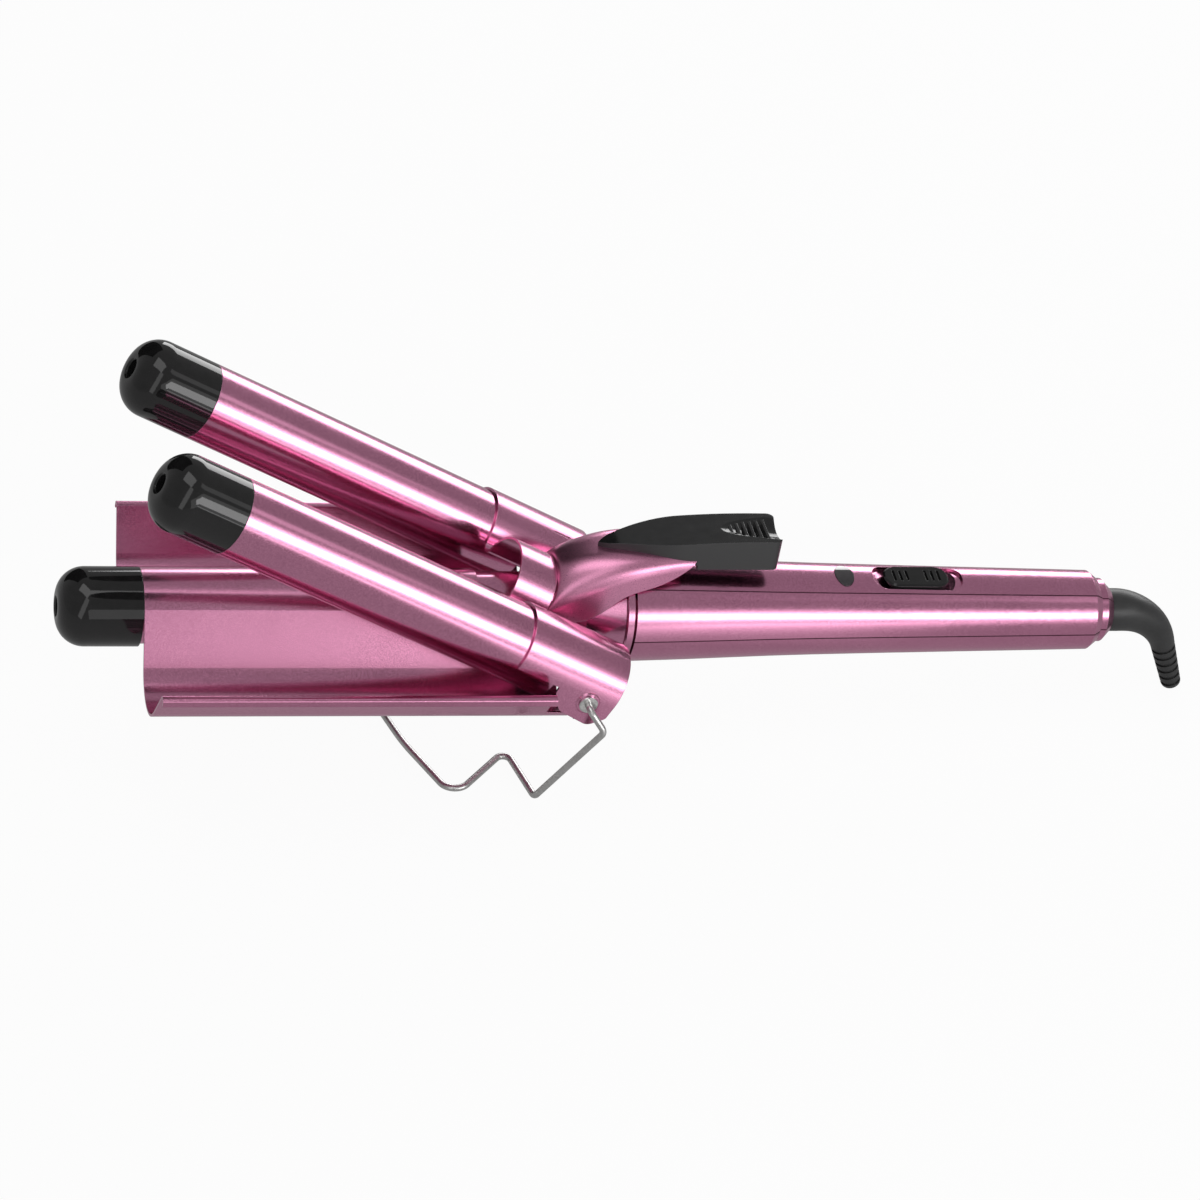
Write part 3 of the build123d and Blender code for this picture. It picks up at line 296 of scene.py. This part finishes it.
def makeMetal(name, look):
    paint = Paint(bpy.data.materials.new(name))
    marks = paint.grain(look["mark"], detail=3.0, stretch=look["stretch"])
    cloud = paint.grain(look["cloud"])
    tone = paint.clamp(0.5 + look["markTone"] * marks + cloud)
    rough = look["roughness"] + look["roughSpread"] * marks + look["cloudRough"] * cloud
    return paint.surface({
        "Base Color": paint.mix(tone, rgb(look["dark"]), rgb(look["light"])),
        "Metallic": 1.0,
        "Roughness": paint.clamp(rough),
        "Normal": paint.normal(marks, look["relief"], look["reliefDepth"], look["edge"]),
    })


# the smoked lens over the indicator lamp, and the lamp itself; ribs, haze, relief and edge in
# millimetres
lensSmoke = {
    "dark": (0.006, 0.005, 0.007), "light": (0.055, 0.045, 0.052), "roughness": 0.05,
    "hazeRough": 0.05, "ribs": 0.75, "ribTone": 0.35, "tone": 0.3, "haze": 3.5, "coatRough": 0.03,
    "relief": 0.03, "reliefDepth": 0.02, "edge": 0.2,
}
lampRed = {**lensSmoke, "dark": (0.30, 0.015, 0.012), "light": (0.62, 0.05, 0.035),
           "roughness": 0.12, "ribs": 0.6}


def makeLens(name, look):
    paint = Paint(bpy.data.materials.new(name))
    inputs = {"Vector": paint.place(), "Scale": 1000 / look["ribs"]}
    cells = paint.node("ShaderNodeTexVoronoi", {}, inputs)
    haze = paint.grain(look["haze"])
    tone = paint.clamp(look["ribTone"] * cells + look["tone"] + haze)
    return paint.surface({
        "Base Color": paint.mix(tone, rgb(look["dark"]), rgb(look["light"])),
        "Roughness": paint.clamp(look["roughness"] + look["hazeRough"] * haze),
        "Coat Weight": 1.0,
        "Coat Roughness": look["coatRough"],
        "Normal": paint.normal(cells, look["relief"], look["reliefDepth"], look["edge"]),
    })


# ceramic heating bars: pressed, fired, slightly speckled; speck and relief in millimetres
ceramic = {"dark": (0.62, 0.58, 0.50), "light": (0.86, 0.84, 0.79), "roughness": 0.55,
           "roughSpread": 0.3, "tone": 0.7, "speck": 0.5, "speckTone": 2.0, "relief": 0.3,
           "reliefDepth": 0.03}


def makeCeramic(name, look):
    paint = Paint(bpy.data.materials.new(name))
    speck = paint.grain(look["speck"], detail=4.0)
    tone = paint.clamp(look["tone"] + look["speckTone"] * speck)
    return paint.surface({
        "Base Color": paint.mix(tone, rgb(look["dark"]), rgb(look["light"])),
        "Roughness": paint.clamp(look["roughness"] + look["roughSpread"] * speck),
        "Normal": paint.normal(speck, look["relief"], look["reliefDepth"]),
    })


# glass-braid sleeves of the leads: crossed strands; pitch and relief in millimetres
leadBraid = {"dark": (0.40, 0.39, 0.36), "light": (0.84, 0.83, 0.79), "roughness": 0.72,
             "tone": 0.35, "pitch": 0.55, "waves": 0.3, "frayed": 0.6, "ways": ("DIAGONAL", "X"),
             "relief": 0.5, "reliefDepth": 0.08}


def makeBraid(name, look):
    paint = Paint(bpy.data.materials.new(name))
    strands = None
    for way in look["ways"]:
        wave = paint.node("ShaderNodeTexWave", {"bands_direction": way}, {
            "Vector": paint.place(), "Scale": 1000 * look["waves"] / look["pitch"],
            "Distortion": look["frayed"],
        })
        strands = wave if strands is None else strands * wave
    tone = paint.clamp(look["tone"] + strands)
    return paint.surface({
        "Base Color": paint.mix(tone, rgb(look["dark"]), rgb(look["light"])),
        "Roughness": look["roughness"],
        "Normal": paint.normal(strands, look["relief"], look["reliefDepth"]),
    })


# circuit board laminate: weave of the glass cloth and paler tracks under the mask, in millimetres
boardGreen = {"mask": (0.012, 0.085, 0.035), "track": (0.035, 0.19, 0.075), "pitch": 9.6,
              "gap": 0.07, "stagger": 0.37, "weave": 0.4, "tone": 0.35, "roughness": 0.38,
              "roughSpread": 0.2, "relief": 0.15, "reliefDepth": 0.02}


def makeBoard(name, look):
    paint = Paint(bpy.data.materials.new(name))
    tracks = paint.node("ShaderNodeTexBrick", {"offset": look["stagger"]}, {
        "Vector": paint.place(), "Color1": rgb(look["track"]), "Color2": rgb(look["track"]),
        "Mortar": rgb(look["mask"]), "Scale": 1000 / look["pitch"], "Mortar Size": look["gap"],
    })
    weave = paint.grain(look["weave"], detail=1.0)
    return paint.surface({
        "Base Color": paint.mix(paint.clamp(look["tone"] + weave), tracks, rgb(look["mask"])),
        "Roughness": paint.clamp(look["roughness"] + look["roughSpread"] * weave),
        "Normal": paint.normal(weave, look["relief"], look["reliefDepth"]),
    })


sides = ("near", "far")
barrels = ("near", "far", "middle")

# finish, the function that makes it, its sizes and colours, and the nodes that wear it
finishes = [
    ("pinkSheet", makePink, pinkSheet, ["tray", "clamp_cover"]),
    ("scoopSheet", makePink, scoopSheet, ["lever_scoop"]),
    ("pinkTube", makePink, pinkTube, [side + "_barrel" for side in barrels]),
    ("pinkShell", makePink, pinkShell, ["neck_collar", "front_ring"]),
    ("upperShell", makePink, upperShell, ["upper_handle_shell"]),
    ("lowerShell", makePink, lowerShell, ["lower_handle_shell"]),
    ("panelShell", makePink, panelShell, ["top_panel"]),
    ("capBlack", makeBlack, capBlack, [side + "_tip_cap" for side in barrels]),
    ("padBlack", makeBlack, padBlack, ["thumb_pad"]),
    ("knobBlack", makeBlack, knobBlack, ["switch_knob"]),
    ("innerBlack", makeBlack, innerBlack, ["switch_body", "swivel_block", "board_spacers"]),
    ("bootRubber", makeRubber, bootRubber, ["cord_boot"]),
    ("wireSteel", makeMetal, wireSteel, ["wire_stand"]),
    ("rivetSteel", makeMetal, rivetSteel, [side + "_hinge_rivet" for side in sides]),
    ("springSteel", makeMetal, springSteel, [side + "_torsion_spring" for side in sides]),
    ("rolledSteel", makeMetal, rolledSteel,
     ["barrel_studs", "pad_rivets", "handle_screws", "yoke_screws", "thermal_fuse"]
     + [side + "_hinge_washer" for side in sides]),
    ("darkSteel", makeMetal, darkSteel, ["hinge_yoke"]),
    ("aluminium", makeMetal, aluminium, [side + "_heat_spreaders" for side in barrels]),
    ("brass", makeMetal, brass, ["slip_rings", "contact_blades"]),
    ("lensSmoke", makeLens, lensSmoke, ["indicator_lens"]),
    ("lampRed", makeLens, lampRed, ["indicator_lamp"]),
    ("ceramic", makeCeramic, ceramic, [side + "_heating_bar" for side in barrels]),
    ("leadBraid", makeBraid, leadBraid,
     ["heater_leads", "supply_leads"] + [side + "_heater_leads" for side in sides]),
    ("boardGreen", makeBoard, boardGreen, ["circuit_board"]),
]
dressed = set()
for name, make, look, wearers in finishes:
    material = make(name, look)
    for wearer in wearers:
        nodes[wearer].data.materials.clear()
        nodes[wearer].data.materials.append(material)
        dressed.add(wearer)
print("finishes made:", len(finishes), "left plain:", sorted(set(nodes) - dressed))


def addObject(name, data):
    made = bpy.data.objects.new(name, data)
    scene.collection.objects.link(made)
    return made


# the tray's gutters run on under the sleeves: in millimetres along and about the closed barrels'
# axes, and from and to these angles in degrees
gutterTail = {"front": -23.95, "rear": -16.0, "inner": 12.88, "outer": 13.62, "from": -146,
              "to": -32, "steps": 24, "side": 31.0, "below": -2.3, "edge": 0.12, "edgeSteps": 2}


def handlePoint(x, y, z):
    # a point beside the middle barrel's axis, in millimetres, as it stands on the floor
    tilt = radians(handle["tilt"])
    tilted = Vector((x * cos(tilt) + z * sin(tilt), y, z * cos(tilt) - x * sin(tilt)))
    return tilted / 1000 + Vector(handle["start"])


def makeGutterTail(name, side, look):
    corners = [(look["front"], look["inner"]), (look["rear"], look["inner"]),
               (look["rear"], look["outer"]), (look["front"], look["outer"])]
    points = []
    for step in range(look["steps"] + 1):
        turn = radians(look["from"] + (look["to"] - look["from"]) * step / look["steps"])
        for x, reach in corners:
            y = side * (look["side"] + reach * cos(turn))
            points.append(handlePoint(x, y, look["below"] + reach * sin(turn)))
    faces = [(0, 1, 2, 3), tuple(4 * look["steps"] + corner for corner in (3, 2, 1, 0))]
    for ring in range(0, 4 * look["steps"], 4):
        for corner in range(4):
            follow = (corner + 1) % 4
            faces.append((ring + corner, ring + 4 + corner, ring + 4 + follow, ring + follow))
    mesh = bpy.data.meshes.new(name)
    mesh.from_pydata(points, [], faces)
    shape = bmesh.new()
    shape.from_mesh(mesh)
    bmesh.ops.recalc_face_normals(shape, faces=shape.faces)
    shape.to_mesh(mesh)
    shape.free()
    mesh.materials.append(bpy.data.materials["pinkSheet"])
    tail = addObject(name, mesh)
    rounded = tail.modifiers.new("rounded", "BEVEL")
    rounded.width = look["edge"] / 1000
    rounded.segments = look["edgeSteps"]
    rounded.limit_method = "ANGLE"
    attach(tail, "handle")


for name, side in (("nearGutterTail", -1), ("farGutterTail", 1)):
    makeGutterTail(name, side, gutterTail)
print("gutter tails made")

# camera: yaw from +Y, height and roll in degrees, its distance and the point that it looks at in
# metres, lens and film width in millimetres
shot = {"yaw": 15.7383, "height": 35.9497, "roll": 5.8765, "distance": 1.59186,
        "target": (-0.0139699, 0, 0.0501274), "lens": 149.947, "film": 36, "farthest": 100}


def makeCamera(look):
    yaw, height, roll = (radians(look[name]) for name in ("yaw", "height", "roll"))
    ahead = Vector((sin(yaw) * cos(height), cos(yaw) * cos(height), -sin(height)))
    level = Vector((cos(yaw), -sin(yaw), 0))
    raised = level.cross(ahead)
    right = cos(roll) * level + sin(roll) * raised
    up = cos(roll) * raised - sin(roll) * level
    data = bpy.data.cameras.new("shotCamera")
    data.lens = look["lens"]
    data.sensor_width = look["film"]
    data.clip_end = look["farthest"]
    camera = addObject("shotCamera", data)
    place = Vector(look["target"]) - look["distance"] * ahead
    turn = Matrix((right, up, -ahead)).transposed().to_4x4()
    camera.matrix_world = Matrix.Translation(place) @ turn
    scene.camera = camera


makeCamera(shot)
print("camera set")

# the middle of the waver, for what hangs around it
middle = Vector((0, 0, 0.06))


def wayTo(look):
    # the way out from the waver: turn from +Y towards +X, and height, in degrees
    turn, height = radians(look["turn"]), radians(look["height"])
    return Vector((sin(turn) * cos(height), cos(turn) * cos(height), sin(height)))


def facingBack(way, away):
    # a place this far away, turned to face the waver
    turn = way.to_track_quat("Z", "Y").to_matrix().to_4x4()
    return Matrix.Translation(middle + away * way) @ turn


def halfAcross(look, name):
    # half the width or height of something that fills this angle as seen from the waver
    return look["away"] * tan(radians(look[name] / 2))


# softboxes: where each hangs, its width and height in degrees as seen from the waver, how it leans,
# how far away it is in metres, and its brightness next to a white card at 1
softboxes = {
    "backBox": {"turn": 34, "height": 16, "wide": 52, "high": 20,
                "lean": 0, "away": 1.6, "bright": 4.0},
    "frontBox": {"turn": 146, "height": 13, "wide": 34, "high": 15,
                 "lean": 0, "away": 1.6, "bright": 3.8},
    "frontGlow": {"turn": 151, "height": 11, "wide": 60, "high": 32,
                  "lean": 0, "away": 1.8, "bright": 0.70},
    "topBox": {"turn": -130, "height": 78, "wide": 40, "high": 26,
               "lean": 0, "away": 1.6, "bright": 1.5},
    "leftStrip": {"turn": -156, "height": 30, "wide": 17, "high": 62,
                  "lean": -22, "away": 1.7, "bright": 1.0},
    "rightStrip": {"turn": 120, "height": 40, "wide": 12, "high": 22,
                   "lean": 20, "away": 1.6, "bright": 0.6},
}


def makeSoftbox(name, look):
    data = bpy.data.lights.new(name, "AREA")
    data.shape = "RECTANGLE"
    data.size = 2 * halfAcross(look, "wide")
    data.size_y = 2 * halfAcross(look, "high")
    data.energy = pi * data.size * data.size_y * look["bright"]
    lamp = addObject(name, data)
    lean = Matrix.Rotation(radians(look["lean"]), 4, "Z")
    lamp.matrix_world = facingBack(wayTo(look), look["away"]) @ lean
    lamp.visible_camera = False


for name, look in softboxes.items():
    makeSoftbox(name, look)
print("softboxes hung:", len(softboxes))

# floor and room: white where the camera looks, grey in the metal's reflections, with a painted pool
# of light on the floor towards the front box that only the metal's reflections show; the floor's
# side, where the glow starts and how far it takes to reach its full strength are in metres, and it
# fades to either side
room = {
    "floor": 8.0, "floorColour": (0.82, 0.82, 0.82), "white": 1.0, "mirrored": 0.38,
    "wallMirrored": 0.32, "shadowShare": 0.05, "glow": 2.2, "glowTurn": 156, "glowNear": 0.05,
    "glowReach": 0.45, "glowSides": (1.7, 20),
}

# black card behind the waver and to its left, which keeps part of the metal dark
blackCard = {"turn": -22, "height": 28, "wide": 38, "high": 56, "away": 1.5,
             "colour": (0.01, 0.01, 0.01)}


def makeSheet(name, wide, high):
    # a flat sheet, from its half width and half height
    mesh = bpy.data.meshes.new(name)
    corners = [(-wide, -high, 0), (wide, -high, 0), (wide, high, 0), (-wide, high, 0)]
    mesh.from_pydata(corners, [], [(0, 1, 2, 3)])
    return addObject(name, mesh)


def rays(paint):
    # 1 for what the camera sees straight or through glass, and 1 for what the metal mirrors
    names = ("Is Camera Ray", "Is Transmission Ray", "Is Glossy Ray")
    camera, through, glossy = (paint.node("ShaderNodeLightPath", out=name) for name in names)
    return paint.clamp(camera + through), glossy


def makeFloor(look):
    floor = makeSheet("floor", look["floor"] / 2, look["floor"] / 2)
    paint = Paint(bpy.data.materials.new("floorCard"))
    straight, glossy = rays(paint)
    glow = straight * look["white"] + glossy * look["mirrored"]
    # painted light: a glowing patch on the floor towards the front box, seen only in the metal's
    # reflections
    turn = radians(look["glowTurn"])
    towards = paint.along((sin(turn), cos(turn), 0)) - look["glowNear"]
    aside = paint.sums("ABSOLUTE", paint.along((cos(turn), -sin(turn), 0)))
    most, fall = look["glowSides"]
    paintedPool = paint.clamp(towards / look["glowReach"]) * paint.clamp(most - fall * aside)
    glow = glow + glossy * look["glow"] * paintedPool
    card = paint.node("ShaderNodeBsdfDiffuse", {}, {"Color": rgb(look["floorColour"])})
    light = paint.node("ShaderNodeEmission", {}, {"Color": rgb((1, 1, 1)), "Strength": glow})
    share = paint.clamp(straight * (1 - look["shadowShare"]) + glossy)
    mixed = paint.node("ShaderNodeMixShader", {}, {0: share, 1: card, 2: light})
    paint.node("ShaderNodeOutputMaterial", {}, {"Surface": mixed})
    floor.data.materials.append(paint.holder)


def makeRoom(look):
    scene.world = bpy.data.worlds.new("room")
    paint = Paint(scene.world)
    straight = rays(paint)[0]
    # white where the camera looks, dimmer in the metal and as a light
    strength = straight * look["white"] + (1 - straight) * look["wallMirrored"]
    wall = paint.node("ShaderNodeBackground", {}, {"Color": rgb((1, 1, 1)), "Strength": strength})
    paint.node("ShaderNodeOutputWorld", {}, {"Surface": wall})


def makeCard(look):
    card = makeSheet("blackCard", halfAcross(look, "wide"), halfAcross(look, "high"))
    card.matrix_world = facingBack(wayTo(look), look["away"])
    card.visible_camera = False
    paint = Paint(bpy.data.materials.new("blackCard"))
    cloth = paint.node("ShaderNodeBsdfDiffuse", {}, {"Color": rgb(look["colour"])})
    paint.node("ShaderNodeOutputMaterial", {}, {"Surface": cloth})
    card.data.materials.append(paint.holder)


makeFloor(room)
makeCard(blackCard)
makeRoom(room)
scene.view_settings.view_transform = "Standard"
print("room ready")
